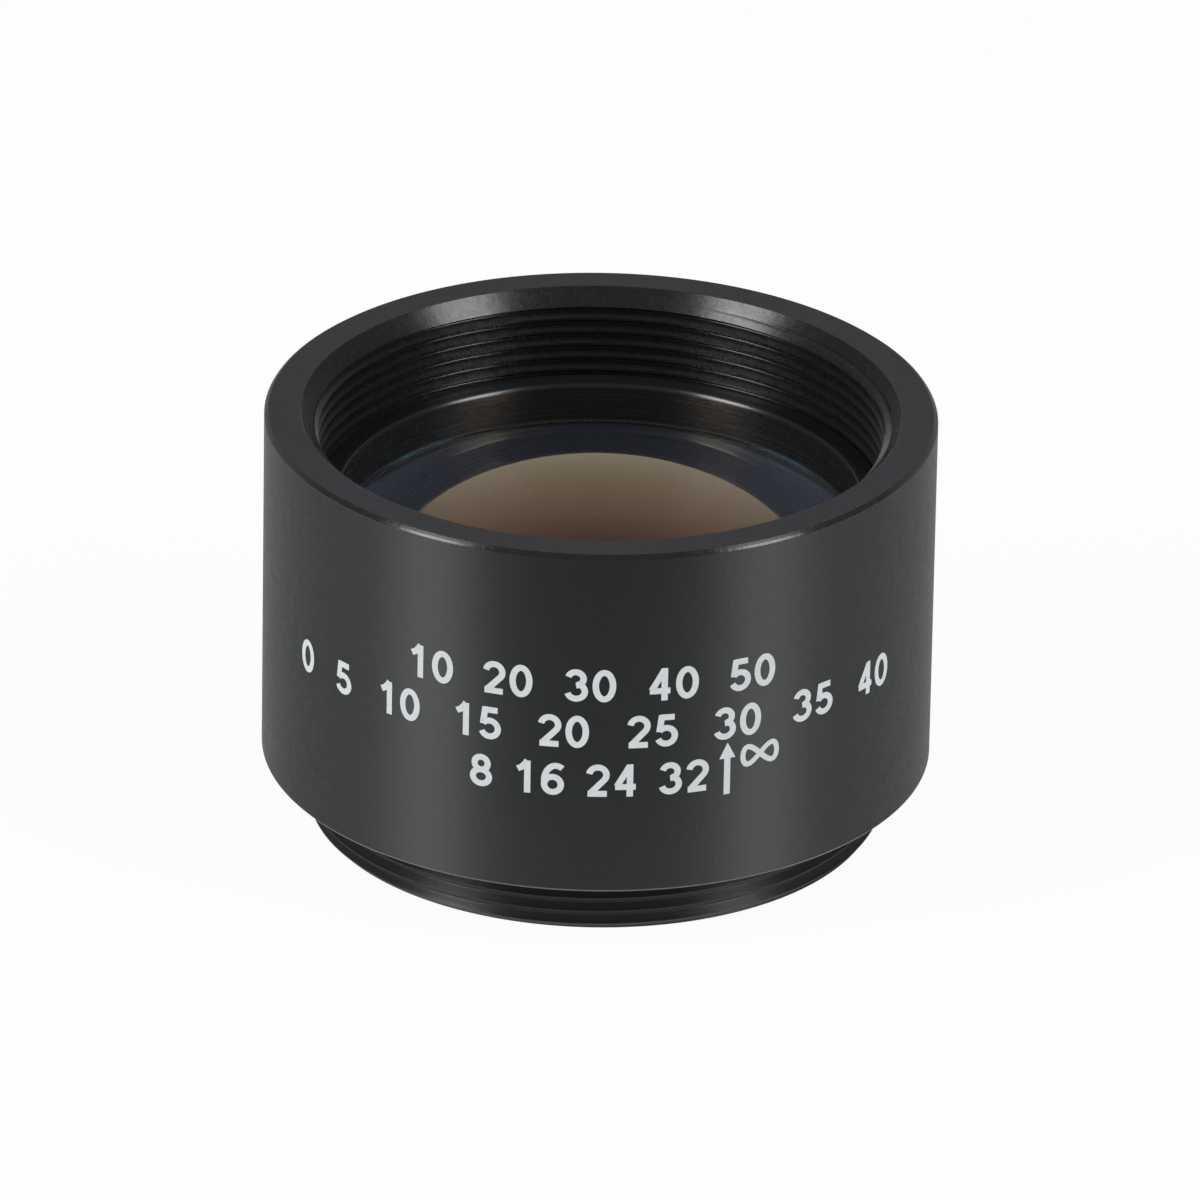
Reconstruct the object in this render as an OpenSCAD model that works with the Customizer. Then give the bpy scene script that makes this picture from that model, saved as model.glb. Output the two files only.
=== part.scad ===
// Mounted achromatic doublet. Two cemented glass elements sit in a turned cell, and a
// threaded ring holds them on their seat. The optical axis is +Z, with the strongly
// curved crown at the top. The origin is the centre of the bottom face.

/* [Lens] */
// Diameter of both glass elements
lens_d = 25.4; // [24.8:0.1:26.4]
// Radius of the crown's front surface
front_radius = 24; // [22:0.5:40]
// Radius of the crown's rear surface, which is cemented
cement_radius = 19.1; // [17.6:0.1:30]
// Radius of the flint's rear surface
rear_radius = 102.1; // [70:0.1:200]
// Thickness of the crown on the axis
crown_t = 12; // [10:0.1:14]
// Thickness of the flint on the axis
flint_t = 2; // [1.5:0.1:4]
// Thickness of the cement film between the elements
cement_t = 0.02; // [0.01:0.01:0.05]
// Ground bevel on the outer edges of the glass
glass_bevel = 0.2; // [0.1:0.05:0.25]

/* [Cell] */
// Wall of the barrel outside the threads
barrel_wall = 2.12; // [1.5:0.01:4]
// Height of the rim above the front of the glass
rim_over = 3; // [2.2:0.05:8]
// Bevel inside the mouth
mouth_bevel = 0.8; // [0.4:0.1:1]
// Bevel on the two outer edges of the barrel
barrel_bevel = 0.2; // [0.1:0.05:0.4]
// How far the seat reaches in under the glass
seat_lap = 1.25; // [0.8:0.05:2]
// Height of the seat above the shoulder
seat_rise = 0.32; // [0.3:0.02:2]
// Room between the glass and its bore, on the radius
lens_clear = 0.06; // [0.02:0.01:0.09]
// Bevel inside the bottom face
rear_bevel = 0.3; // [0.1:0.05:0.4]

/* [Threads] */
// Room between the glass and the crests of the inside thread, on the radius
thread_clear = 0.1; // [0.1:0.01:0.2]
// Depth of both threads
thread_depth = 0.33; // [0.2:0.01:0.4]
// Length of the outside thread, with its relief groove
thread_len = 3; // [2.5:0.1:6]
// Bevel at the start of the outside thread
thread_bevel = 0.35; // [0.2:0.05:0.5]
// How much deeper the relief grooves are than the threads
relief_over = 0.05; // [0.02:0.01:0.1]
// Flat bottom of the relief groove at the shoulder
shoulder_relief = 0.15; // [0.1:0.05:0.4]
// Width of the relief groove between the bore and the inside thread
bore_relief = 0.8; // [0.6:0.05:1.5]

/* [Retaining ring] */
// Height of the ring
ring_h = 2.05; // [1.3:0.05:2.4]
// How far the ring reaches in over the glass
ring_lap = 1; // [0.85:0.05:1.6]
// Bevel on the ring's inner edges
ring_bevel = 0.2; // [0.1:0.05:0.3]
// Room between the ring's thread and the cell's, on the radius
ring_clear = 0.02; // [0.01:0.01:0.05]
// Width of the two spanner slots
slot_w = 2; // [1.2:0.1:3]
// Depth of the two spanner slots
slot_depth = 1; // [0.5:0.1:1.1]

/* [Hidden] */
$fn = 180;
// Extra reach of a cutting shape past the surface it cuts
over = 1;

// Drop of a spherical surface from its vertex to the radius r
function sag(radius, r) = radius - sqrt(radius * radius - r * r);

// Radii of the threads, drawn as plain walls: their crests, their pitch line, and the outside crests
lens_r = lens_d / 2;
crest_r = lens_r + thread_clear;
pitch_r = crest_r + thread_depth / 2;
thread_r = crest_r + thread_depth;
relief_depth = thread_depth + relief_over;

// Radii of the cell
cell_r = thread_r + barrel_wall;
bore_r = lens_r + lens_clear;
seat_r = lens_r - seat_lap;

// Heights of the glass, up from the seat's inner edge, which carries the flint
seat_z = thread_len + seat_rise;
rear_z = seat_z - sag(rear_radius, seat_r);
cement_z = rear_z + flint_t + cement_t;
front_z = cement_z + crown_t;

// The ring bears on the crown with the lower edge of its inner bevel
ring_in_r = lens_r - ring_lap;
touch_r = ring_in_r + ring_bevel;
ring_z = front_z - sag(front_radius, touch_r);

// Above plug_z, just clear of the glass, the inside thread is open to any part
plug_z = front_z + 0.1;
rim_z = front_z + rim_over;

// Outside of the turned cell, from the bottom face up to the rim
outer_line = [
    [thread_r - thread_bevel, 0],
    [thread_r, thread_bevel],
    [thread_r, thread_len - shoulder_relief - 2 * relief_depth],
    [thread_r - relief_depth, thread_len - shoulder_relief - relief_depth],
    [thread_r - relief_depth, thread_len - relief_depth],
    [thread_r, thread_len],
    [cell_r - barrel_bevel, thread_len],
    [cell_r, thread_len + barrel_bevel],
    [cell_r, rim_z - barrel_bevel],
    [cell_r - barrel_bevel, rim_z]
];

// Inside of the cell, from the rim down to the bottom face. The thread's wall is at its
// crests where a part enters, and at its pitch line where the ring's thread engages.
inner_line = [
    [crest_r + mouth_bevel, rim_z],
    [crest_r, rim_z - mouth_bevel],
    [crest_r, plug_z],
    [pitch_r, plug_z],
    [pitch_r, ring_z],
    [crest_r + relief_depth, ring_z],
    [crest_r + relief_depth, ring_z - bore_relief],
    [bore_r, ring_z - bore_relief],
    [bore_r, seat_z],
    [seat_r, seat_z],
    [seat_r, rear_bevel],
    [seat_r + rear_bevel, 0]
];

// Section of the retaining ring above its lower face
ring_out_r = pitch_r - ring_clear;
ring_line = [
    [touch_r, 0],
    [ring_out_r, 0],
    [ring_out_r, ring_h],
    [touch_r, ring_h],
    [ring_in_r, ring_h - ring_bevel],
    [ring_in_r, ring_bevel]
];

// A cone of 45 degrees that trims the edge of a glass blank. Its side passes the blank's
// radius at the height z and narrows upward, or downward with up = -1.
module bevel_cone(z, up = 1) {
    span = front_radius;
    translate([0, 0, z - up * span])
        mirror([0, 0, up > 0 ? 0 : 1])
            cylinder(h = span + lens_r, r1 = lens_r + span, r2 = 0);
}

// Turned cell with the outside thread below and the inside thread above
module lens_cell() {
    color([0.16, 0.17, 0.17])
        rotate_extrude()
            polygon(concat(outer_line, inner_line));
}

// Threaded ring with two spanner slots across its upper face
module retaining_ring() {
    color([0.12, 0.13, 0.13])
        translate([0, 0, ring_z])
            difference() {
                rotate_extrude()
                    polygon(ring_line);
                for (side = [-1, 1])
                    translate([side * (ring_out_r - ring_in_r / 2), 0, ring_h - slot_depth / 2 + over / 2])
                        cube([ring_in_r, slot_w, slot_depth + over], center = true);
            }
}

// Thick biconvex element of crown glass
module crown_element() {
    color([0.55, 0.62, 0.85, 0.5])
        intersection() {
            translate([0, 0, cement_z])
                cylinder(h = crown_t, r = lens_r);
            translate([0, 0, cement_z + cement_radius])
                sphere(r = cement_radius);
            translate([0, 0, front_z - front_radius])
                sphere(r = front_radius);
            bevel_cone(front_z - sag(front_radius, lens_r) - glass_bevel);
        }
}

// Thin meniscus element of flint glass, hollow above and slightly convex below
module flint_element() {
    color([0.72, 0.60, 0.45, 0.5])
        difference() {
            intersection() {
                translate([0, 0, rear_z])
                    cylinder(h = flint_t + cement_t + sag(cement_radius, lens_r), r = lens_r);
                translate([0, 0, rear_z + rear_radius])
                    sphere(r = rear_radius);
                bevel_cone(rear_z + sag(rear_radius, lens_r) + glass_bevel, up = -1);
            }
            translate([0, 0, cement_z + cement_radius])
                sphere(r = cement_radius + cement_t);
        }
}

lens_cell();
retaining_ring();
crown_element();
flint_element();
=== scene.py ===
"""Finish of a mounted achromatic doublet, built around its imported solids.

All pieces are closed meshes in the frame of the solids: metres, +Z along the optical axis
and -Y towards the marked side of the barrel.
"""

import math

import bpy
import numpy as np
from bpy.props import FloatProperty, FloatVectorProperty, PointerProperty, StringProperty
from mathutils import Matrix, Quaternion, Vector


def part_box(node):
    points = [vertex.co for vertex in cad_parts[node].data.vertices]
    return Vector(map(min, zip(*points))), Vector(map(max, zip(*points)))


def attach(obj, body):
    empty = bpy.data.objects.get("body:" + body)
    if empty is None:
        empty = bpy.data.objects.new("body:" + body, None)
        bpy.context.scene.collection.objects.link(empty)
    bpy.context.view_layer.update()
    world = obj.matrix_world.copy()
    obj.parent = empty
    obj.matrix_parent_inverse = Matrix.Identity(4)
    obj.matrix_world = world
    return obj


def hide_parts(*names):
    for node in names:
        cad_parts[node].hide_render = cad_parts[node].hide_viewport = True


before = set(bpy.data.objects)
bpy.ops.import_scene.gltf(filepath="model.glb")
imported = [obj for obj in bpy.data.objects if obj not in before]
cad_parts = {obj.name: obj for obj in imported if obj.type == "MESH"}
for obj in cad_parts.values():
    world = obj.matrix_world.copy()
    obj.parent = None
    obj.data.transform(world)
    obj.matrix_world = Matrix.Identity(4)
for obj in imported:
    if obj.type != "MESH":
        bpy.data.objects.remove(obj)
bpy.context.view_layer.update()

bl_info = {
    "name": "Mounted Doublet",
    "version": (1, 0, 0),
    "blender": (4, 5, 0),
    "location": "3D View > Sidebar > Doublet",
    "description": "Builds the threaded cell, retaining ring, glass and marks of a mounted doublet",
    "category": "Object",
}

MM = 0.001
CELL_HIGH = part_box("lens_cell")[1]
RING_LOW, RING_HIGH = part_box("retaining_ring")
CROWN_LOW, CROWN_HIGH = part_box("crown_element")
FLINT_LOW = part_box("flint_element")[0]

# Columns of faces round the turned metal and round the glass
METAL_COLUMNS = 240
GLASS_COLUMNS = 192
# Faces that meet at a larger angle than this have a sharp edge between them
SHARP_ANGLE = math.radians(38)
# Lengths that differ by less than this are the same
SAME = 1e-9


def number(name, description, default):
    """A plain number property."""
    return FloatProperty(name=name, description=description, default=default)


def angle(name, description, default):
    """A property in radians, shown in degrees."""
    return FloatProperty(name=name, description=description, default=default, subtype="ANGLE")


def pair(name, description, default):
    """A property of two numbers that belong together."""
    return FloatVectorProperty(name=name, description=description, default=default, size=2)


def length(name, description, default):
    """A property in metres, shown in the scene's unit of length."""
    return FloatProperty(name=name, description=description, default=default, precision=6, unit="LENGTH")


def colour(name, description, default):
    """A colour property."""
    return FloatVectorProperty(
        name=name, description=description, default=default, size=3, min=0, max=1, subtype="COLOR"
    )


class CellSettings(bpy.types.PropertyGroup):
    """Sizes and colours of the turned cell."""

    radius: length("Radius", "Outer radius of the barrel", CELL_HIGH.x)
    height: length("Height", "Height of the rim above the bottom face", CELL_HIGH.z)
    shoulder: length("Shoulder", "Height of the shoulder above the bottom face", 3 * MM)
    edge_bevel: length("Edge bevel", "Bevel on the barrel's outer edges", 0.2 * MM)
    mouth_bevel: length("Mouth bevel", "Bevel inside the mouth", 0.8 * MM)
    rear_bevel: length("Rear bevel", "Bevel inside the bottom face", 0.3 * MM)
    softening: length("Softening", "Radius of the rounding on the turned edges", 0.03 * MM)
    inset: length("Inset", "How far the barrel's surface lies inside the solid's", 0.006 * MM)
    crest_radius: length("Crest radius", "Radius at the inside thread's crests", CROWN_HIGH.x + 0.1 * MM)
    inside_depth: length("Inside depth", "Depth of the inside thread", 0.39 * MM)
    inside_section: pair("Inside section", "Half widths of crest and root, in turns", (0.08, 0.12))
    inside_start: number("Inside start", "Part of a turn by which the inside thread is turned", 0.3)
    thread_depth: length("Thread depth", "Depth of the outside thread", 0.33 * MM)
    thread_bevel: length("Thread bevel", "Bevel at the start of the outside thread", 0.35 * MM)
    outside_section: pair("Outside section", "Half widths of crest and root, in turns", (0.02, 0.1))
    outside_start: number("Outside start", "Part of a turn by which the outside thread is turned", 0.18)
    pitch: length("Pitch", "Rise of both threads in one turn", 0.635 * MM)
    relief_over: length("Relief over", "How much deeper the relief grooves are than the threads", 0.05 * MM)
    shoulder_relief: length("Shoulder relief", "Flat bottom of the groove at the shoulder", 0.15 * MM)
    bore_relief: length("Bore relief", "Width of the groove above the bore", 0.8 * MM)
    bore_radius: length("Bore radius", "Radius of the bore round the glass", CROWN_HIGH.x + 0.06 * MM)
    seat_radius: length("Seat radius", "Inner radius of the seat under the glass", CROWN_HIGH.x - 1.25 * MM)
    black: colour("Black", "Colour of the anodised cell", (0.0085, 0.0096, 0.01))
    # Painted light: the bore under the glass is pale and bluish, standing in for the light that reaches it
    # through the glass
    bore: colour("Rear bore", "Colour of the anodising in the bore under the glass", (0.08, 0.087, 0.13))
    # Partly painted sheen: the rim's face is lighter than the barrel's black, standing in for the sheen it
    # shows, beside a purple tint of its own
    rim: colour("Rim", "Colour of the anodising on the rim's face", (0.0205, 0.0198, 0.023))
    mouth: colour("Mouth", "Colour of the anodising inside the mouth", (0.0088, 0.0088, 0.0099))
    # Mixed in at the scuffs as wear, and at the barrel's edges as wear and a painted highlight
    bare: colour("Bare metal", "Colour of the metal where the black is worn", (0.42, 0.42, 0.43))


class RingSettings(bpy.types.PropertyGroup):
    """Sizes and colours of the retaining ring."""

    inner_radius: length("Inner radius", "Radius of the ring's opening", CROWN_HIGH.x - 1 * MM)
    bevel: length("Bevel", "Bevel on the ring's edges", 0.2 * MM)
    clearance: length("Clearance", "Room between the ring's thread and the cell's", 0.03 * MM)
    slot_width: length("Slot width", "Width of the two spanner slots", 2 * MM)
    slot_depth: length("Slot depth", "Depth of the two spanner slots", 1 * MM)
    slot_bevel: length("Slot bevel", "Bevel on the upper edges of the slots", 0.04 * MM)
    face_inset: length("Face inset", "How far the flat faces end inside the cell's crests", 0.08 * MM)
    softening: length("Softening", "Radius of the rounding on the inner edges", 0.025 * MM)
    black: colour("Black", "Colour of the anodised ring", (0.008, 0.009, 0.009))
    # Used only for the painted highlight on the lower lip of the opening
    bare: colour("Bare metal", "Colour of the metal where the black is worn", (0.42, 0.42, 0.43))


class GlassSettings(bpy.types.PropertyGroup):
    """Curves, bevels and optical values of the two elements."""

    front_radius: length("Front radius", "Radius of the crown's front surface", 24 * MM)
    cement_radius: length("Cement radius", "Radius of the cemented surface", 19.1 * MM)
    rear_radius: length("Rear radius", "Radius of the flint's rear surface", 102.1 * MM)
    bevel: length("Bevel", "Ground bevel at the glass edges", 0.2 * MM)
    cement: length("Cement", "Thickness of the cement film", 0.02 * MM)
    crown_index: number("Crown index", "Refractive index of the crown", 1.67)
    flint_index: number("Flint index", "Refractive index of the flint", 1.805)
    coating_index: number("Coating index", "Refractive index of the coating", 1.42)
    coating_depth: number("Coating depth", "Thickness of the coating in nanometres", 300)
    ground: colour("Ground edge", "Colour of the ground glass edge", (0.066, 0.072, 0.077))


class MarkSettings(bpy.types.PropertyGroup):
    """Numbers, sizes and colour of the marks on the barrel."""

    upper: StringProperty(name="Upper row", description="Numbers in the upper row", default="10 20 30 40 50")
    middle: StringProperty(
        name="Middle row", description="Numbers in the middle row", default="0 5 10 15 20 25 30 35 40"
    )
    lower: StringProperty(name="Lower row", description="Numbers in the lower row", default="8 16 24 32")
    digit_height: length("Digit height", "Height of the digits", 1.6 * MM)
    stroke: length("Stroke", "Width of the strokes", 0.29 * MM)
    inset: length("Inset", "How far the marks' surface lies inside the solid's", 0.001 * MM)
    white: colour("White", "Colour of the laser marks", (0.68, 0.7, 0.715))


class StageSettings(bpy.types.PropertyGroup):
    """Camera, soft boxes, room and floor."""

    elevation: angle("Elevation", "Height of the camera above the horizon", 0.4491)
    roll: angle("Roll", "Turn of the camera about its own axis", 0.0177)
    distance: length("Distance", "Distance of the camera", 721.32 * MM)
    across: length("Across", "Shift of the origin across the camera's view", -0.254 * MM)
    upward: length("Upward", "Shift of the origin up the camera's view", -9.194 * MM)
    lens: number("Lens", "Focal length of the camera in millimetres", 472.94)
    lamp: number("Box strength", "Brightness of the two soft boxes", 7.2)
    uneven: number("Uneven boxes", "Part by which the left box is stronger and the right one weaker", 0.08)
    azimuth: angle("Box azimuth", "Turn of the boxes from the front", math.radians(63))
    box_lean: angle("Box lean", "How far the tops of the boxes lean back", math.radians(22))
    box_height: angle("Box elevation", "Height of the boxes above the horizon", math.radians(37))
    box_distance: length("Box distance", "Distance of the boxes from the lens", 0.45)
    box_width: length("Box width", "Width of the boxes", 0.15)
    box_length: length("Box length", "Length of the boxes", 0.44)
    aim: length("Aim", "Height on the axis at which the boxes point", 10 * MM)
    room: number("Room light", "Diffuse light from the white room", 0.15)
    dim: number("Dim back", "How much darker than white the room's back is in reflections", 0.1)
    dark: number("Dark front", "How much darker the room's front is in reflections", 0.88)
    front_edge: pair("Front edge", "Where the dark front starts and is full, from -1 to 1", (-0.3, 0.3))
    side_edge: pair("Side edge", "Where the dark sides start and are full, from 0 to 1", (0.25, 0.45))
    side_foot: pair("Side foot", "Heights where the dark sides start and are full", (-0.1, 0.03))
    floor_front: pair("Floor front", "Y where the dark floor starts and is full, in mm", (-22.0, -60.0))
    # Painted shadow: the floor's glow under the lens is darker in reflections and through glass
    shadow_radii: pair("Floor hole", "Radii where the dark floor under the lens ends, in mm", (12.0, 13.5))
    shadow_darkness: number("Dark hole", "How much darker the floor under the lens is in reflections", 0.95)
    floor_glow: number("Floor glow", "Part of the floor's look that is an even glow", 0.95)
    floor: colour("Floor", "Colour of the floor", (0.86, 0.86, 0.86))
    tint: colour("Room tint", "Colour of the room in reflections", (0.94, 0.96, 1.0))
    floor_tint: colour("Floor tint", "Colour of the floor in reflections", (0.96, 1.0, 0.975))


class Wire:
    """A shader socket on which Python's operators add Math nodes."""

    def __init__(self, finish, socket):
        self.finish = finish
        self.socket = socket

    def maths(self, operation, *values):
        return self.finish.node("ShaderNodeMath", {"operation": operation}, dict(enumerate(values)))

    def __add__(self, other):
        return self.maths("ADD", self, other)

    def __radd__(self, other):
        return self.maths("ADD", other, self)

    def __sub__(self, other):
        return self.maths("SUBTRACT", self, other)

    def __rsub__(self, other):
        return self.maths("SUBTRACT", other, self)

    def __mul__(self, other):
        return self.maths("MULTIPLY", self, other)

    def __rmul__(self, other):
        return self.maths("MULTIPLY", other, self)

    def __pow__(self, other):
        return self.maths("POWER", self, other)

    def __abs__(self):
        return self.maths("ABSOLUTE", self)


class Finish:
    """The nodes of one material or of the world."""

    def __init__(self, tree):
        tree.nodes.clear()
        self.tree = tree

    def node(self, kind, settings=None, values=None, output=0):
        """Adds a node, sets its settings, then its sockets, and returns one of its outputs."""
        made = self.tree.nodes.new(kind)
        for name, value in (settings or {}).items():
            setattr(made, name, value)
        for name, value in (values or {}).items():
            if isinstance(value, Wire):
                self.tree.links.new(value.socket, made.inputs[name])
            else:
                made.inputs[name].default_value = value
        return Wire(self, made.outputs[output])

    def millimetres(self):
        """The place on the piece, in millimetres."""
        place = self.node("ShaderNodeTexCoord", output="Object")
        return self.node("ShaderNodeVectorMath", {"operation": "SCALE"}, {0: place, "Scale": 1 / MM})

    def axis(self, place, letter):
        return self.node("ShaderNodeSeparateXYZ", None, {0: place}, output=letter)

    def noise(self, place, scale, detail=2.0, roughness=0.5):
        values = {"Vector": place, "Scale": scale, "Detail": detail, "Roughness": roughness}
        return self.node("ShaderNodeTexNoise", None, values)

    def lines(self, along, scale, detail=3.0):
        """Uneven parallel lines across a length."""
        return self.node(
            "ShaderNodeTexNoise", {"noise_dimensions": "1D"}, {"W": along, "Scale": scale, "Detail": detail}
        )

    def step(self, value, low, high):
        """Rises smoothly from 0 at low to 1 at high."""
        return self.node(
            "ShaderNodeMapRange",
            {"interpolation_type": "SMOOTHSTEP"},
            {"Value": value, "From Min": low, "From Max": high},
        )

    def mix(self, amount, first, second):
        """Mixes two colours."""
        return self.node("ShaderNodeMix", {"data_type": "RGBA"}, {0: amount, 6: first, 7: second}, output=2)

    def bump(self, height, depth):
        """Relief of a height between 0 and 1, with its full depth in millimetres."""
        return self.node("ShaderNodeBump", None, {"Strength": 1.0, "Distance": depth * MM, "Height": height})

    def principled(self, values):
        return self.node("ShaderNodeBsdfPrincipled", None, values)

    def surface(self, shader):
        self.node_output("ShaderNodeOutputMaterial", shader)

    def node_output(self, kind, shader):
        """Ends the nodes with an output of a material or of the world."""
        made = self.tree.nodes.new(kind)
        self.tree.links.new(shader.socket, made.inputs["Surface"])


def new_material(name):
    """A new material and the finish that fills it."""
    material = bpy.data.materials.new(name)
    material.use_nodes = True
    return material, Finish(material.node_tree)


def shade(rgb, factor=1.0):
    """A colour with alpha, made darker or lighter."""
    return (*(min(1.0, part * factor) for part in rgb), 1.0)


def anodised_cell(name, settings, tone, index=1.6, stretch=0.9, rough=0.4, relief=0.012):
    """Bead-blasted black anodising on turned metal. The turning marks stretch its gloss along the axis.

    The masks lie at the cell's own edges, in millimetres. Some of them paint light and shade into the colour:
    the pale bore under the glass, the darker crests of the inside thread, the lighter grooves of the outside
    thread and a highlight line along the barrel's edges.
    """
    material, f = new_material(name)
    place = f.millimetres()
    x, y, z = (f.axis(place, letter) for letter in "XYZ")
    radius = (x * x + y * y) ** 0.5
    rim, shoulder, barrel = settings.height / MM, settings.shoulder / MM, settings.radius / MM
    bevel, mouth_bevel = settings.edge_bevel / MM, settings.mouth_bevel / MM
    seat, crests = settings.seat_radius / MM, settings.crest_radius / MM
    thread, mouth = crests + settings.thread_depth / MM, crests + mouth_bevel
    ring = RING_LOW.z / MM
    grain = f.noise(place, scale=9.0, detail=3.0, roughness=0.65)
    mottle = f.noise(place, scale=2.4, detail=4.0, roughness=0.6)
    cloud = f.noise(place, scale=0.28, detail=3.0)
    turning = f.lines(radius + z * 1.7, scale=9.0)
    foot = 1.0 - f.step(z, shoulder - 0.1, shoulder)
    # Painted light: the bore under the glass takes the pale bore colour
    bore = 1.0 - f.step(radius, seat + 0.25, seat + 0.45)
    bore = bore * (1.0 - f.step(z, shoulder + 0.3, shoulder + 0.4))
    # Painted shade: the inside thread's crests above the ring are made darker
    crest = (1.0 - f.step(radius, crests + 0.02, crests + 0.06)) * f.step(z, ring - 0.04, ring + 0.06)
    # The barrel's top and bottom edges: smoother, with a pale line that is partly wear and partly a painted
    # highlight
    edge = f.step(z, rim - bevel - 0.04, rim - bevel) + 1.0 - f.step(z, shoulder + 0.12, shoulder + 0.16)
    edge = edge * f.step(radius, barrel - 0.25, barrel - 0.19)
    # Painted light: the outside thread's grooves, and everything nearer the axis below the shoulder, are made
    # lighter
    groove = foot * (1.0 - f.step(radius, thread - 0.18, thread - 0.03))
    scuff = 1.0 - f.step(radius, mouth, mouth + 0.1)
    scuff = scuff * f.step(z, rim - mouth_bevel, rim - mouth_bevel + 0.08)
    scuff = scuff * f.step(f.noise(place, scale=5.0, detail=4.0, roughness=0.75), 0.45, 0.8)
    front = f.step(y, -4.0, -9.0)
    black = f.mix(cloud * 0.4 + mottle * 0.6, shade(tone, 0.5), shade(tone, 1.3))
    black = f.mix(f.step(grain, 0.25, 0.8) * 0.4, black, shade(tone, 1.9))
    # Painted shade on the crests
    black = f.mix(crest, black, shade(tone, 0.8))
    # Painted light in the grooves
    black = f.mix(groove, black, shade(tone, 2.0))
    # Painted light in the bore under the glass
    black = f.mix(bore * 0.8, black, shade(settings.bore))
    # Scuffs on the mouth's bevel are wear; the pale line along the edges is wear and a painted highlight
    wear_and_sheen = scuff * 0.02 + edge * f.noise(place, scale=2.0, detail=4.0, roughness=0.7) * 0.015
    gloss = rough + mottle * 0.2 + grain * 0.08 - edge * front * 0.28 + scuff * 0.05 - foot * 0.08
    values = {
        "Base Color": f.mix(wear_and_sheen, black, shade(settings.bare)),
        "Roughness": gloss,
        "IOR": index,
        "Anisotropic": stretch,
        "Anisotropic Rotation": 0.25,
        "Normal": f.bump(grain * 0.3 + mottle * 0.6 + turning * 0.1, relief),
    }
    f.surface(f.principled(values))
    return material


def anodised_ring(settings):
    """Black anodising over fine turning lines, with a painted highlight along the lower lip of the opening.
    """
    material, f = new_material("black_anodised_ring")
    place = f.millimetres()
    x, y, z = (f.axis(place, letter) for letter in "XYZ")
    radius = (x * x + y * y) ** 0.5
    opening, lip = settings.inner_radius / MM, (RING_LOW.z + settings.bevel) / MM
    turning = f.lines(radius * 1.3 + z * 1.1, scale=6.5, detail=4.0)
    grain = f.noise(place, scale=12.0)
    cloud = f.noise(place, scale=0.4, detail=3.0)
    # Painted highlight: a pale line along the lower lip of the opening, where the rounded edge catches light
    wear_and_sheen = (1.0 - f.step(abs(z - lip), 0.03, 0.06)) * (1.0 - f.step(radius, opening + 0.04, opening + 0.1))
    black = f.mix(cloud * 0.6 + turning * 0.4, shade(settings.black, 0.8), shade(settings.black, 1.3))
    values = {
        "Base Color": f.mix(wear_and_sheen * 0.12, black, shade(settings.bare)),
        "Roughness": 0.18 + turning * 0.14 + grain * 0.04,
        "IOR": 1.7,
        "Anisotropic": 0.8,
        "Anisotropic Rotation": 0.25,
        "Normal": f.bump(turning * 0.8 + grain * 0.2, 0.002),
    }
    f.surface(f.principled(values))
    return material


def polished_glass(name, index, settings, coated):
    """Clear polished glass. Lamps light what is below it, and a coating tints its reflection."""
    material, f = new_material(name)
    smear = f.noise(f.millimetres(), scale=0.5)
    values = {
        "Base Color": (1.0, 1.0, 1.0, 1.0),
        "Roughness": f.step(smear, 0.55, 0.75) * 0.004,
        "IOR": index,
        "Transmission Weight": 1.0,
    }
    if coated:
        values["Thin Film Thickness"] = settings.coating_depth
        values["Thin Film IOR"] = settings.coating_index
    shader = f.principled(values)
    clear = f.node("ShaderNodeBsdfTransparent", None, {"Color": (0.8, 0.8, 0.8, 1.0)})
    shadow = f.node("ShaderNodeLightPath", output="Is Shadow Ray")
    f.surface(f.node("ShaderNodeMixShader", None, {0: shadow, 1: shader, 2: clear}))
    return material


def cement_side(name):
    """The crown's cemented face. The flint's face, next to it, bends the light for both."""
    material, f = new_material(name)
    f.surface(f.node("ShaderNodeBsdfTransparent", None, {"Color": (0.995, 0.99, 0.98, 1.0)}))
    return material


def ground_glass(settings):
    """Matt ground edge of the elements."""
    material, f = new_material("ground_glass_edge")
    place = f.millimetres()
    grain = f.noise(place, scale=11.0, detail=4.0, roughness=0.7)
    cloud = f.noise(place, scale=0.6, detail=3.0)
    paint = f.mix(cloud * 0.6 + grain * 0.4, shade(settings.ground, 0.8), shade(settings.ground, 1.25))
    values = {
        "Base Color": paint,
        "Roughness": 0.75 + grain * 0.2,
        "IOR": 1.5,
        "Normal": f.bump(grain, 0.01),
    }
    f.surface(f.principled(values))
    return material


def laser_white(settings):
    """Laser marks: bleached anodising with the fine lines of the beam."""
    material, f = new_material("laser_mark_white")
    place = f.millimetres()
    beam = f.lines(f.axis(place, "Z"), scale=13.0, detail=1.0)
    grain = f.noise(place, scale=10.0, detail=3.0, roughness=0.7)
    paint = f.mix(beam * 0.4 + grain * 0.6, shade(settings.white, 0.8), shade(settings.white, 1.2))
    values = {
        "Base Color": paint,
        "Roughness": 0.6 + grain * 0.2,
        "IOR": 1.4,
        "Normal": f.bump(grain + beam, 0.003),
    }
    f.surface(f.principled(values))
    return material


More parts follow.
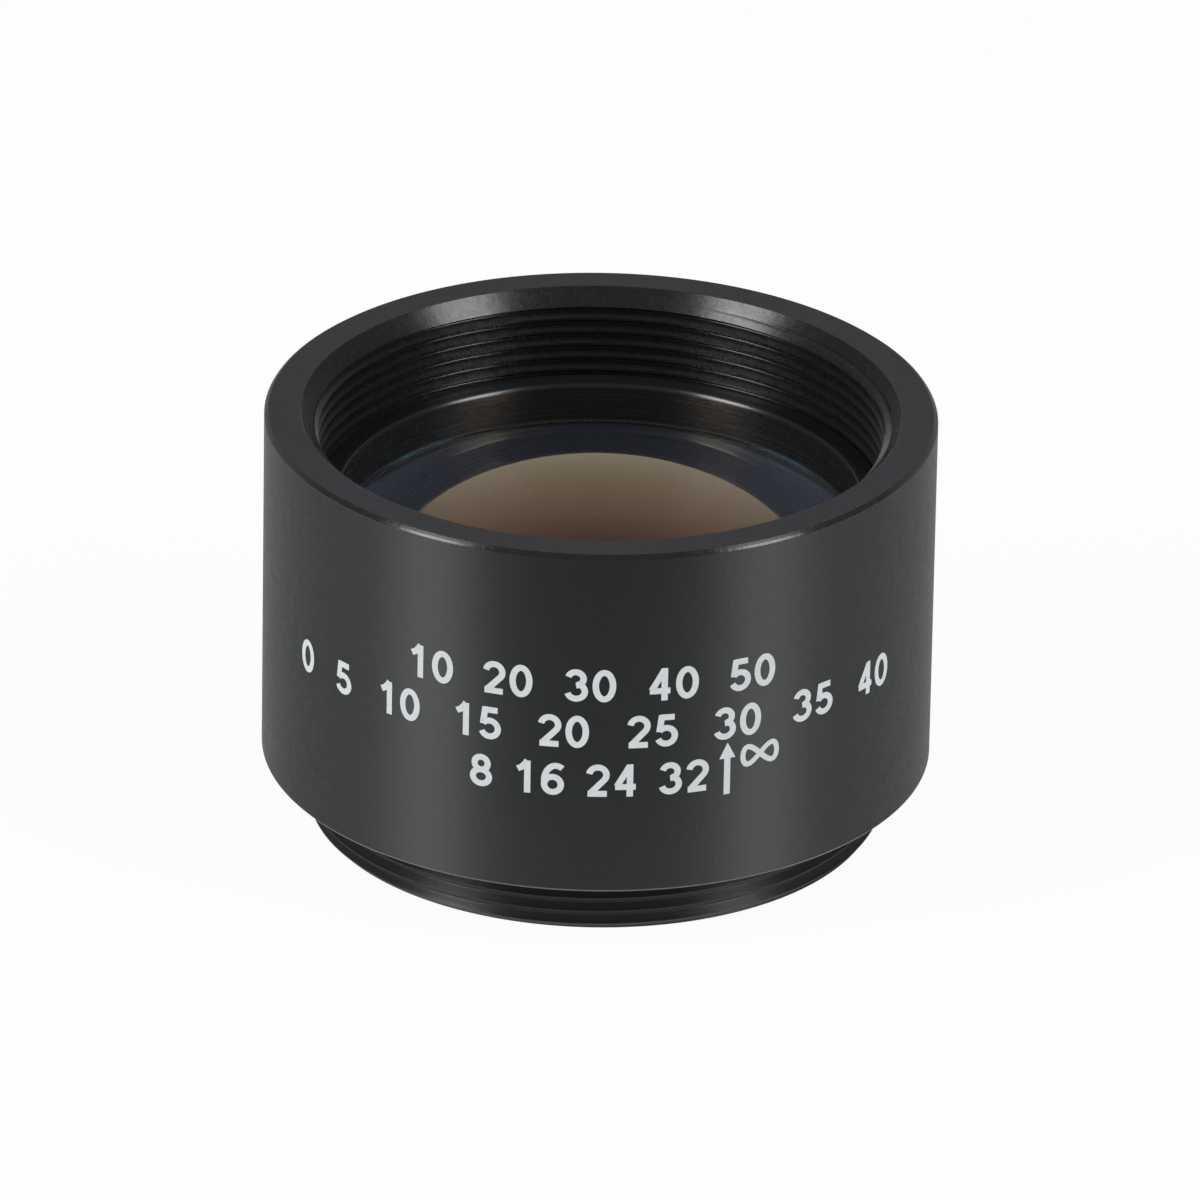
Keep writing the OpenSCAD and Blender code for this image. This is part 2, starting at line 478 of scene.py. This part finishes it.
def white_floor(settings):
    """Pale floor that keeps a soft shadow, is seen as the white background and is open from below. Its glow
    has a painted shadow under the lens.
    """
    material, f = new_material("pale_floor")
    place = f.millimetres()
    x, y = (f.axis(place, letter) for letter in "XY")
    grain = f.noise(place, scale=0.05, detail=4.0)
    paint = f.mix(grain, shade(settings.floor, 0.985), shade(settings.floor, 1.015))
    matt = f.node("ShaderNodeBsdfDiffuse", None, {"Color": paint})
    # Painted shadow under the lens, where the part would shade the floor
    painted_shadow = 1.0 - f.step((x * x + y * y) ** 0.5, *settings.shadow_radii)
    dark = f.step(y, *settings.floor_front) * settings.dark + painted_shadow * settings.shadow_darkness
    glow = background(f, "ShaderNodeEmission", 1.0 - dark, settings.floor_tint)
    lit = f.node("ShaderNodeMixShader", None, {0: seen_rays(f) * settings.floor_glow, 1: matt, 2: glow})
    below = f.node("ShaderNodeNewGeometry", output="Backfacing")
    clear = f.node("ShaderNodeBsdfTransparent", None, {"Color": (1.0, 1.0, 1.0, 1.0)})
    f.surface(f.node("ShaderNodeMixShader", None, {0: below, 1: lit, 2: clear}))
    return material


def seen_rays(f):
    """1 for rays from the camera, a reflection or through glass, and 0 for diffuse light."""
    kinds = ("Is Camera Ray", "Is Glossy Ray", "Is Transmission Ray")
    camera, glossy, through = (f.node("ShaderNodeLightPath", output=kind) for kind in kinds)
    return camera.maths("MAXIMUM", camera.maths("MAXIMUM", camera, glossy), through)


def background(f, kind, level, tint):
    """Glow that is white to the camera, and a part of the tint in reflections and through glass."""
    white = f.node(kind, None, {"Color": (1.0, 1.0, 1.0, 1.0), "Strength": 1.0})
    tinted = f.node(kind, None, {"Color": shade(tint), "Strength": 1.0})
    black = f.node(kind, None, {"Color": (0.0, 0.0, 0.0, 1.0), "Strength": 0.0})
    room = f.node("ShaderNodeMixShader", None, {0: level, 1: black, 2: tinted})
    camera = f.node("ShaderNodeLightPath", output="Is Camera Ray")
    return f.node("ShaderNodeMixShader", None, {0: camera, 1: room, 2: white})


def drop(curve, radius):
    """Drop of a spherical surface from its vertex to a radius."""
    return curve - np.sqrt(curve * curve - radius * radius)


def rounded(points, radii, steps=3):
    """A section line with its inner corners rounded, and a guard point at both sides of each.

    radii is one number, or one for each inner corner.
    """
    line = [np.array(points[0], float)]
    radii = np.broadcast_to(radii, len(points) - 2)
    for before, corner, after, radius in zip(points, points[1:], points[2:], radii):
        before, corner, after = (np.array(point, float) for point in (before, corner, after))
        back = (before - corner) / np.linalg.norm(before - corner)
        ahead = (after - corner) / np.linalg.norm(after - corner)
        half = math.acos(float(np.clip(back @ ahead, -1, 1))) / 2
        reach = radius / math.tan(half)
        centre = corner + (back + ahead) / np.linalg.norm(back + ahead) * radius / math.sin(half)
        first, last = corner + back * reach - centre, corner + ahead * reach - centre
        start = math.atan2(first[1], first[0])
        turn = (math.atan2(last[1], last[0]) - start + math.pi) % math.tau - math.pi
        line.append(corner + back * (reach + radius))
        for step in range(steps + 1):
            bearing = start + turn * step / steps
            line.append(centre + radius * np.array([math.cos(bearing), math.sin(bearing)]))
        line.append(corner + ahead * (reach + radius))
    line.append(np.array(points[-1], float))
    return line


def groove(turns, crest, root):
    """Depth in a thread's groove, from 0 on a crest to 1 at the root. Crests lie at whole turns.

    crest and root are half widths in turns. The crest is flat with sharp edges and the root is round.
    """
    away = np.abs(turns - np.round(turns))
    slope = 1 / (0.5 - crest - root / 2)
    inward = np.maximum(away - 0.5 + root, 0)
    return slope * (np.maximum(away - crest, 0) - inward * inward / (2 * root))


def thread_rows(low, high, pitch, start, wall, parts, section):
    """Rows of a threaded wall from low to high. They climb with the thread and stop at both ends.

    In each half turn five rows lie on the flank, and two more on the round root.
    """
    crest, root = section
    bends = [*np.linspace(crest, 0.5 - root, 5), *(0.5 - part * root for part in (0.6, 0.25))]
    knots = sorted([-bend for bend in bends] + [0, 0.5] + bends)
    first, last = low / pitch - 1 + start, high / pitch + start
    turns = [whole + knot for whole in range(math.floor(first) - 1, math.ceil(last) + 2) for knot in knots]
    under = max(turn for turn in turns if turn <= first)
    over = min(turn for turn in turns if turn >= last)
    rows = []
    for turn in turns:
        if under <= turn <= over:
            height = np.clip(pitch * (turn + parts - start), low, high)
            rows.append(np.stack([wall(height, height / pitch - parts + start), height], -1))
    return rows


def plain_rows(line, parts):
    """Rows of a plain turned wall."""
    return [np.tile(np.array(point, float), (len(parts), 1)) for point in line]


def turned_mesh(name, rows, angles, bands=None, closed=True):
    """A mesh from rows of radius and height, one pair for each column. Points that meet become one.

    bands holds the material's number for the strip above each row. angles holds one angle for each
    column, or one row of angles for each row.
    """
    rows = np.array(rows)
    angles = np.broadcast_to(np.array(angles, float), rows.shape[:2]).copy()
    angles[:, -1] = angles[:, 0]
    points = np.stack([rows[..., 0] * np.cos(angles), rows[..., 0] * np.sin(angles), rows[..., 1]], -1)
    # A last column with the radius of the first ends exactly on it
    tiny = 1e-12
    meets = np.abs(rows[:, -1:, 0] - rows[:, :1, 0]) < tiny
    points[:, -1, :2] = np.where(meets, points[:, 0, :2], points[:, -1, :2])
    # Points in one box of a fine grid meet. The grid is shifted, so round sizes lie inside its boxes.
    boxes_per_metre, shift = 2e7, 0.137
    keys = np.round(points.reshape(-1, 3) * boxes_per_metre + shift).astype(np.int64)
    _, first, index = np.unique(keys, axis=0, return_index=True, return_inverse=True)
    index = index.reshape(points.shape[:2])
    upper = np.roll(index, -1, 0) if closed else index[1:]
    lower = index if closed else index[:-1]
    quads = np.stack([lower[:, :-1], lower[:, 1:], upper[:, 1:], upper[:, :-1]], -1)
    faces, numbers = [], []
    for row, strip in enumerate(quads.tolist()):
        for quad in strip:
            face = [here for here, ahead in zip(quad, quad[1:] + quad[:1]) if here != ahead]
            if len(face) > 2 and len(set(face)) == len(face):
                faces.append(face)
                numbers.append(bands[row] if bands else 0)
    return solid_mesh(name, points.reshape(-1, 3)[first].tolist(), faces, numbers)


def solid_mesh(name, points, faces, numbers=None):
    """A closed mesh with its faces turned outwards and smooth where they meet at a low angle."""
    mesh = bpy.data.meshes.new(name)
    mesh.from_pydata(points, [], faces)
    if numbers:
        mesh.polygons.foreach_set("material_index", numbers)
    mesh.calc_loop_triangles()
    corners = np.array(points)[np.array([triangle.vertices[:] for triangle in mesh.loop_triangles])]
    if np.einsum("ij,ij->", corners[:, 0], np.cross(corners[:, 1], corners[:, 2])) < 0:
        mesh.flip_normals()
    mesh.polygons.foreach_set("use_smooth", [True] * len(mesh.polygons))
    mesh.set_sharp_from_angle(angle=SHARP_ANGLE)
    mesh.update()
    return mesh


def place_piece(name, mesh, materials, slot, *nodes):
    """Puts a piece in the scene. It rides on the one body and stands for the named solids."""
    for material in materials:
        mesh.materials.append(material)
    piece = bpy.data.objects.new(name, mesh)
    bpy.context.scene.collection.objects.link(piece)
    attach(piece, "root")
    if nodes:
        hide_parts(*nodes)


def inside_wall(cell):
    """Radius of the inside thread, cut by the mouth's bevel."""

    def wall(height, turns):
        thread = cell.crest_radius + cell.inside_depth * groove(turns, *cell.inside_section)
        return np.maximum(thread, cell.crest_radius + cell.mouth_bevel - (cell.height - height))

    return wall


class DOUBLET_OT_cell(bpy.types.Operator):
    """Builds the turned cell with its two threads"""

    bl_idname = "doublet.cell"
    bl_label = "Cell"

    def execute(self, context):
        cell = context.scene.doublet_cell
        glass = context.scene.doublet_glass
        parts = np.arange(METAL_COLUMNS + 1) / METAL_COLUMNS
        crest = cell.crest_radius + cell.thread_depth
        relief_depth = cell.thread_depth + cell.relief_over
        relief = crest - relief_depth
        slope = cell.shoulder - cell.shoulder_relief - 2 * relief_depth
        start = crest - cell.thread_bevel
        radius = cell.radius - cell.inset
        mouth = cell.crest_radius + cell.mouth_bevel
        seat = FLINT_LOW.z + drop(glass.rear_radius, cell.seat_radius)
        foot = RING_LOW.z
        ledge = foot - cell.bore_relief
        # The mouth's bevel is plain down to this depth below the rim
        plain = 0.1 * MM

        def outside_wall(height, turns):
            thread = crest - cell.thread_depth * groove(turns, *cell.outside_section)
            thread = np.minimum(thread, start + height)
            return np.minimum(thread, crest - (height - slope))

        # The barrel's lower edge is less bevelled than its upper one, which has two bevels
        lower_bevel = 0.6 * cell.edge_bevel
        outer_low = slope + relief_depth
        outer = [
            (relief, outer_low),
            (relief, cell.shoulder - relief_depth),
            (crest, cell.shoulder),
            (radius - lower_bevel, cell.shoulder),
            (radius, cell.shoulder + lower_bevel),
            (radius, cell.height - cell.edge_bevel),
            (radius - 0.3 * cell.edge_bevel, cell.height - 0.5 * cell.edge_bevel),
            (radius - cell.edge_bevel, cell.height),
            (mouth, cell.height),
            (mouth - plain, cell.height - plain),
        ]
        groove_radius = crest + cell.relief_over
        inner = [
            (groove_radius, foot),
            (groove_radius, ledge),
            (cell.bore_radius, ledge),
            (cell.bore_radius, seat),
            (cell.seat_radius, seat),
            (cell.seat_radius, cell.rear_bevel),
            (cell.seat_radius + cell.rear_bevel, 0),
            (start, 0),
        ]
        section = cell.outside_section
        rows = thread_rows(0, outer_low, cell.pitch, cell.outside_start, outside_wall, parts, section)
        rows += plain_rows(rounded(outer, cell.softening), parts)
        top, wall, section = cell.height - plain, inside_wall(cell), cell.inside_section
        rows += reversed(thread_rows(foot, top, cell.pitch, cell.inside_start, wall, parts, section))
        rows += plain_rows(rounded(inner, cell.softening), parts)
        # The rim's face and the mouth down to the ledge have finishes of their own. The rim's face is
        # lighter, partly as painted sheen
        middle = np.array(rows).mean(1)
        slack, margin = 0.005 * MM, 0.2 * MM
        face = (middle[:, 1] > cell.height - 2 * slack) & (middle[:, 0] > mouth)
        inside = (middle[:, 1] > ledge - margin) & (middle[:, 0] < mouth + slack)
        mesh = turned_mesh("cell", rows, parts * math.tau, (face + 2 * inside).tolist())
        finishes = [
            anodised_cell("black_anodised_barrel", cell, cell.black),
            anodised_cell("black_anodised_rim_face", cell, cell.rim, index=1.23, stretch=0.0),
            anodised_cell("black_anodised_mouth", cell, cell.mouth, stretch=0.65, rough=0.13, relief=0.006),
        ]
        place_piece("lens_cell_turned", mesh, finishes, "cell_black", "lens_cell")
        return {"FINISHED"}


class DOUBLET_OT_ring(bpy.types.Operator):
    """Builds the threaded retaining ring with its two spanner slots"""

    bl_idname = "doublet.ring"
    bl_label = "Retaining ring"

    def execute(self, context):
        cell = context.scene.doublet_cell
        ring = context.scene.doublet_ring
        low, high = RING_LOW.z, RING_HIGH.z
        half, floor, bevel = ring.slot_width / 2, high - ring.slot_depth, ring.slot_bevel
        middle = (ring.inner_radius + cell.crest_radius) / 2
        clear = math.asin((half + 5 * bevel) / ring.inner_radius) / math.tau
        # Half of a slot's section: distances from its middle, and heights
        profile = [(0, floor), (0.5 * half, floor), (half, floor), (half, high - bevel), (half + bevel, high)]
        profile.append((half + 3 * bevel, high))
        slot = [(-width, top) for width, top in reversed(profile)] + profile[1:]
        columns = []
        for side in (0.0, 0.5):
            columns += [(side, width, top) for width, top in slot]
            part = np.arange(METAL_COLUMNS) / METAL_COLUMNS
            open_part = part[(part > clear) & (part < 0.5 - clear)]
            columns += [(side + here, None, high) for here in open_part]
        columns.append((1.0, -profile[-1][0], high))
        caps = np.array([top for _, _, top in columns])
        base = np.array([part for part, _, _ in columns])
        widths = np.array([0.0 if width is None else width for _, width, _ in columns])
        parts = base + np.arcsin(widths / middle) / math.tau
        edge = cell.crest_radius - ring.face_inset

        def wall(height, turns):
            thread = inside_wall(cell)(height, turns) - ring.clearance
            return np.minimum(thread, np.minimum(edge + high - height, edge + height - low))

        turned = []
        for row in thread_rows(low, high, cell.pitch, cell.inside_start, wall, parts, cell.inside_section):
            height = np.minimum(row[:, 1], caps)
            turns = height / cell.pitch - parts + cell.inside_start
            turned.append(np.stack([wall(height, turns), height], -1))
        inner = ring.inner_radius
        line = [
            (edge, high),
            (inner, high),
            (inner, low + ring.bevel),
            (inner + ring.bevel, low),
            (edge, low),
        ]
        for row in plain_rows(rounded(line, (ring.bevel, ring.softening, ring.softening), 6), parts):
            row[:, 1] = np.minimum(row[:, 1], caps)
            turned.append(row)
        turned = np.array(turned)
        angles = base * math.tau + np.arcsin(widths / turned[..., 0])
        mesh = turned_mesh("ring", turned, angles)
        place_piece("retaining_ring_threaded", mesh, [anodised_ring(ring)], "ring_black", "retaining_ring")
        return {"FINISHED"}


class DOUBLET_OT_glass(bpy.types.Operator):
    """Builds the crown and flint elements"""

    bl_idname = "doublet.glass"
    bl_label = "Glass"

    def execute(self, context):
        glass = context.scene.doublet_glass
        edge = CROWN_HIGH.x
        parts = np.arange(GLASS_COLUMNS + 1) / GLASS_COLUMNS
        # The rings of faces are finer from here out to the edge
        fine, gap = edge - 0.65 * MM, 0.05 * MM
        inner_rings, outer_rings = 90, 27
        inner, outer = np.linspace(0, fine - gap, inner_rings), np.linspace(fine, edge, outer_rings)
        across = np.concatenate([inner, outer])
        count = len(across)
        ground = ground_glass(glass)

        dome = CROWN_HIGH.z - drop(glass.front_radius, across)
        front = np.minimum(dome, dome[-1] - glass.bevel + edge - across)
        cement = CROWN_LOW.z + drop(glass.cement_radius, across)
        first = int(np.argmax(front < dome - SAME))
        line = np.concatenate([np.stack([across, front], -1), np.stack([across, cement], -1)[::-1]])
        bands = [0] * (first - 1) + [1] * (count - first + 1) + [2] * (count - 1)
        mesh = turned_mesh("crown", plain_rows(line, parts), parts * math.tau, bands, closed=False)
        polished = polished_glass("crown_polished", glass.crown_index, glass, True)
        finishes = [polished, ground, cement_side("crown_cemented")]
        place_piece("crown_polished_element", mesh, finishes, "crown_glass", "crown_element")

        bowl = FLINT_LOW.z + drop(glass.rear_radius, across)
        rear = np.maximum(bowl, bowl[-1] + glass.bevel - edge + across)
        centre = CROWN_LOW.z + glass.cement_radius
        cement = centre - np.sqrt((glass.cement_radius + glass.cement) ** 2 - across**2)
        first = int(np.argmax(rear > bowl + SAME))
        line = np.concatenate([np.stack([across, rear], -1), np.stack([across, cement], -1)[::-1]])
        bands = [0] * (first - 1) + [1] * (count - first + 1) + [2] * (count - 1)
        mesh = turned_mesh("flint", plain_rows(line, parts), parts * math.tau, bands, closed=False)
        polished = polished_glass("flint_polished", glass.flint_index, glass, True)
        cemented = polished_glass("flint_cemented", glass.flint_index / glass.crown_index, glass, False)
        finishes = [polished, ground, cemented]
        place_piece("flint_polished_element", mesh, finishes, "flint_glass", "flint_element")
        return {"FINISHED"}


def arc(x, y, across, up, start, stop, count=22):
    """Points on an ellipse, between two angles in degrees."""
    bearings = np.radians(np.linspace(start, stop, count))
    return [(x + across * math.cos(bearing), y + up * math.sin(bearing)) for bearing in bearings]


def digit_strokes(digit):
    """Middle lines of a digit's strokes, on a digit one unit high. A ring ends where it starts."""
    six = [arc(0.34, 0.325, 0.235, 0.235, 0, 360, 34), arc(0.43, 0.44, 0.325, 0.47, 186, 56)]
    return {
        "0": [arc(0.33, 0.5, 0.24, 0.41, 0, 360, 40)],
        "1": [[(0.12, 0.72), (0.24, 0.785), (0.34, 0.9), (0.4, 1.0)], [(0.4, 0.0), (0.4, 1.0)]],
        "2": [[*arc(0.33, 0.675, 0.24, 0.235, 172, -38), (0.12, 0.1)], [(0.05, 0.09), (0.59, 0.09)]],
        "3": [arc(0.31, 0.705, 0.215, 0.205, 165, -88), arc(0.32, 0.315, 0.245, 0.225, 86, -165)],
        "4": [[(0.455, 0.0), (0.455, 1.0)], [(0.44, 0.94), (0.09, 0.32)], [(0.04, 0.3), (0.62, 0.3)]],
        "5": [
            [(0.56, 0.91), (0.16, 0.91)],
            [(0.2, 0.98), (0.135, 0.46)],
            arc(0.33, 0.335, 0.245, 0.245, 142, -158),
        ],
        "6": six,
        "7": [
            [(0.05, 0.91), (0.6, 0.91)],
            [(0.57, 0.93), (0.44, 0.72), (0.34, 0.47), (0.28, 0.22), (0.26, 0.0)],
        ],
        "8": [arc(0.33, 0.715, 0.195, 0.195, 0, 360, 30), arc(0.33, 0.305, 0.24, 0.215, 0, 360, 34)],
        "9": [[(0.66 - x, 1 - y) for x, y in stroke] for stroke in six],
    }[digit]


class Marks:
    """Gathers strokes that are wrapped on the barrel, each a thin closed solid."""

    # Longest step along a stroke, and its thickness
    stride = 0.2 * MM
    depth = 0.012 * MM
    # Every third stroke lies at the same height, so strokes that cross don't share a surface
    stagger = 0.0004 * MM
    # Least cosine of half a bend that still widens the stroke there
    least_cosine = 0.6
    # Width of a digit with the gap after it, and that gap, as parts of its height
    pace = 0.777
    digit_gap = 0.117

    def __init__(self, radius):
        self.radius = radius
        self.points = []
        self.faces = []
        self.strokes = 0

    def stroke(self, line, width):
        """Adds a stroke along a line. width is one number, or one for each point."""
        line = np.array(line, float)
        closed = np.linalg.norm(line[0] - line[-1]) < SAME
        width = np.broadcast_to(width, len(line))
        fine, widths = [line[0]], [width[0]]
        for here, ahead, first, last in zip(line, line[1:], width, width[1:]):
            count = max(1, math.ceil(np.linalg.norm(ahead - here) / self.stride))
            for step in range(1, count + 1):
                fine.append(here + (ahead - here) * step / count)
                widths.append(first + (last - first) * step / count)
        fine, widths = np.array(fine), np.array(widths)
        if closed:
            fine, widths = fine[:-1], widths[:-1]
        ahead = np.roll(fine, -1, 0) - fine
        back = fine - np.roll(fine, 1, 0)
        if not closed:
            ahead[-1], back[0] = back[-1], ahead[0]
        ahead /= np.linalg.norm(ahead, axis=1)[:, None]
        back /= np.linalg.norm(back, axis=1)[:, None]
        middle = ahead + back
        middle /= np.linalg.norm(middle, axis=1)[:, None]
        side = np.stack([-middle[:, 1], middle[:, 0]], -1)
        reach = widths / 2 / np.maximum((middle * ahead).sum(1), self.least_cosine)
        top = self.radius - self.stagger * (self.strokes % 3)
        low = top - self.depth
        self.strokes += 1
        start = len(self.points)
        for point, away, half in zip(fine, side, reach):
            for sign, radius in ((1, top), (-1, top), (-1, low), (1, low)):
                x, z = point + sign * away * half
                bearing = x / self.radius
                self.points.append((radius * math.sin(bearing), -radius * math.cos(bearing), z))
        count = len(fine)
        for step in range(count if closed else count - 1):
            here, there = start + 4 * step, start + 4 * ((step + 1) % count)
            for one, two in ((0, 1), (1, 2), (2, 3), (3, 0)):
                self.faces.append((here + one, here + two, there + two, there + one))
        if not closed:
            self.faces.append((start + 3, start + 2, start + 1, start))
            last = start + 4 * (count - 1)
            self.faces.append((last, last + 1, last + 2, last + 3))

    def row(self, text, middle, start, stop, size, width):
        """Adds a row of numbers between two angles in degrees, centred on a height."""
        first, last = (math.radians(degrees) * self.radius for degrees in (start, stop))
        digits = sum(letter != " " for letter in text)
        pace = self.pace * size
        gap = (last - first - digits * pace + self.digit_gap * size) / max(1, text.count(" "))
        for letter in text:
            if letter == " ":
                first += gap
                continue
            for stroke in digit_strokes(letter):
                self.stroke([(first + x * size, middle + (y - 0.5) * size) for x, y in stroke], width)
            first += pace

    def arrow(self, degrees, tail, tip, width, head_length, head_width):
        """Adds an arrow that points up. Its shaft ends inside its head."""
        x, point = math.radians(degrees) * self.radius, 0.03 * MM
        self.stroke([(x, tail), (x, tip - 0.8 * head_length)], width)
        self.stroke([(x, tip - head_length), (x, tip)], [head_width, point])

    def far_sign(self, degrees, middle, across, up, width):
        """Adds the sign for far focus, a lying eight, in two strokes."""
        x = math.radians(degrees) * self.radius
        for start in (-90, 90):
            bearings = np.radians(np.linspace(start, start + 180, 30))
            line = [(x + across * math.cos(turn), middle + up * math.sin(2 * turn)) for turn in bearings]
            self.stroke(line, width)


class DOUBLET_OT_marks(bpy.types.Operator):
    """Marks the barrel with rows of plain numbers, an arrow and the sign for far focus"""

    bl_idname = "doublet.marks"
    bl_label = "Marks"

    def execute(self, context):
        cell = context.scene.doublet_cell
        marks = context.scene.doublet_marks
        pen = Marks(cell.radius - marks.inset)
        # Each row's text, its height in millimetres, and its first and last angle in degrees
        rows = (
            (marks.upper, 13.3, -33.5, 31.5),
            (marks.middle, 11.0, -60.5, 59.0),
            (marks.lower, 8.6, -21.5, 19.5),
        )
        for text, height, start, stop in rows:
            pen.row(text, height * MM, start, stop, marks.digit_height, marks.stroke)
        pen.arrow(22.8, 7.46 * MM, 10.0 * MM, 0.3 * MM, head_length=0.75 * MM, head_width=0.78 * MM)
        pen.far_sign(28.9, 9.2 * MM, across=0.86 * MM, up=0.43 * MM, width=0.25 * MM)
        mesh = solid_mesh("marks", pen.points, pen.faces)
        place_piece("barrel_marks", mesh, [laser_white(marks)], "cell_black")
        return {"FINISHED"}


def add_camera(scene, stage):
    """The camera that was fitted to the photograph."""
    back = Vector((0, -math.cos(stage.elevation), math.sin(stage.elevation)))
    right = Vector((1, 0, 0))
    up = back.cross(right)
    turned = math.cos(stage.roll) * right + math.sin(stage.roll) * up
    upward = math.cos(stage.roll) * up - math.sin(stage.roll) * right
    camera = bpy.data.cameras.new("photo_view")
    camera.sensor_width = 36
    camera.lens = stage.lens
    camera.clip_start, camera.clip_end = 0.01, 50
    camera.dof.use_dof = False
    view = bpy.data.objects.new("photo_view", camera)
    place = stage.distance * back - stage.across * turned - stage.upward * upward
    view.matrix_world = Matrix.Translation(place) @ Matrix((turned, upward, back)).transposed().to_4x4()
    scene.collection.objects.link(view)
    scene.camera = view


def add_room(scene, stage):
    """A white room. Its front and its sides above the horizon are dark in reflections."""
    world = bpy.data.worlds.new("white_room")
    world.use_nodes = True
    scene.world = world
    f = Finish(world.node_tree)
    direction = f.node("ShaderNodeTexCoord", output="Generated")
    x, y, z = (f.axis(direction, letter) for letter in "XYZ")
    # The dark front faces forwards and up
    front = f.step(z * 0.6 - y * 0.8, *stage.front_edge)
    side = f.step(abs(x), *stage.side_edge) * f.step(z, *stage.side_foot)
    level = 1.0 - stage.dim - front.maths("MAXIMUM", front, side) * (stage.dark - stage.dim)
    level = stage.room + seen_rays(f) * (level - stage.room)
    f.node_output("ShaderNodeOutputWorld", background(f, "ShaderNodeBackground", level, stage.tint))


def add_floor(scene, stage):
    """A wide floor just below the part."""
    reach, depth = 3.0, 0.01 * MM
    corners = [(reach * x, reach * y, -depth) for x, y in ((-1, -1), (1, -1), (1, 1), (-1, 1))]
    mesh = bpy.data.meshes.new("floor")
    mesh.from_pydata(corners, [], [(0, 1, 2, 3)])
    mesh.materials.append(white_floor(stage))
    floor = bpy.data.objects.new("floor", mesh)
    scene.collection.objects.link(floor)


def add_box(scene, stage, name, side):
    """A soft box that faces the lens, at the left with side -1 or at the right with side 1.

    A strength of 1 is as bright as the white room.
    """
    target = Vector((0, 0, stage.aim))
    reach = stage.box_distance * math.cos(stage.box_height)
    place = Vector((side * reach * math.sin(stage.azimuth), -reach * math.cos(stage.azimuth), stage.aim))
    place.z += stage.box_distance * math.sin(stage.box_height)
    lamp = bpy.data.lights.new(name, "AREA")
    lamp.shape = "RECTANGLE"
    lamp.size, lamp.size_y = stage.box_width, stage.box_length
    strength = stage.lamp * (1.0 - stage.uneven * side)
    lamp.energy = strength * math.pi * stage.box_width * stage.box_length
    box = bpy.data.objects.new(name, lamp)
    box.location = place
    box.rotation_mode = "QUATERNION"
    facing = (target - place).to_track_quat("-Z", "Y")
    box.rotation_quaternion = facing @ Quaternion((0, 0, 1), -side * stage.box_lean)
    box.visible_camera = False
    scene.collection.objects.link(box)


class DOUBLET_OT_stage(bpy.types.Operator):
    """Sets up the camera, the white room, the floor and the soft boxes"""

    bl_idname = "doublet.stage"
    bl_label = "Stage"

    def execute(self, context):
        stage = context.scene.doublet_stage
        add_camera(context.scene, stage)
        add_room(context.scene, stage)
        add_floor(context.scene, stage)
        add_box(context.scene, stage, "left_box", -1)
        add_box(context.scene, stage, "right_box", 1)
        context.scene.view_settings.view_transform = "Standard"
        return {"FINISHED"}


class DOUBLET_PT_panel(bpy.types.Panel):
    """Lists the steps that build the doublet"""

    bl_idname = "DOUBLET_PT_panel"
    bl_label = "Mounted Doublet"
    bl_space_type = "VIEW_3D"
    bl_region_type = "UI"
    bl_category = "Doublet"

    def draw(self, context):
        for name, operator in GROUPS:
            box = self.layout.box()
            box.operator(operator)
            settings = getattr(context.scene, name)
            for part in settings.__annotations__:
                box.prop(settings, part)


GROUPS = (
    ("doublet_cell", "doublet.cell"),
    ("doublet_ring", "doublet.ring"),
    ("doublet_glass", "doublet.glass"),
    ("doublet_marks", "doublet.marks"),
    ("doublet_stage", "doublet.stage"),
)
SETTINGS = (CellSettings, RingSettings, GlassSettings, MarkSettings, StageSettings)
OPERATORS = (DOUBLET_OT_cell, DOUBLET_OT_ring, DOUBLET_OT_glass, DOUBLET_OT_marks, DOUBLET_OT_stage)
CLASSES = (*SETTINGS, *OPERATORS, DOUBLET_PT_panel)


def register():
    for part in CLASSES:
        bpy.utils.register_class(part)
    for (name, _), settings in zip(GROUPS, SETTINGS):
        setattr(bpy.types.Scene, name, PointerProperty(type=settings))


def unregister():
    for name, _ in GROUPS:
        delattr(bpy.types.Scene, name)
    for part in reversed(CLASSES):
        bpy.utils.unregister_class(part)


def main():
    """Builds every piece and the stage."""
    register()
    bpy.ops.doublet.cell()
    bpy.ops.doublet.ring()
    bpy.ops.doublet.glass()
    bpy.ops.doublet.marks()
    bpy.ops.doublet.stage()


if __name__ == "__main__":
    main()
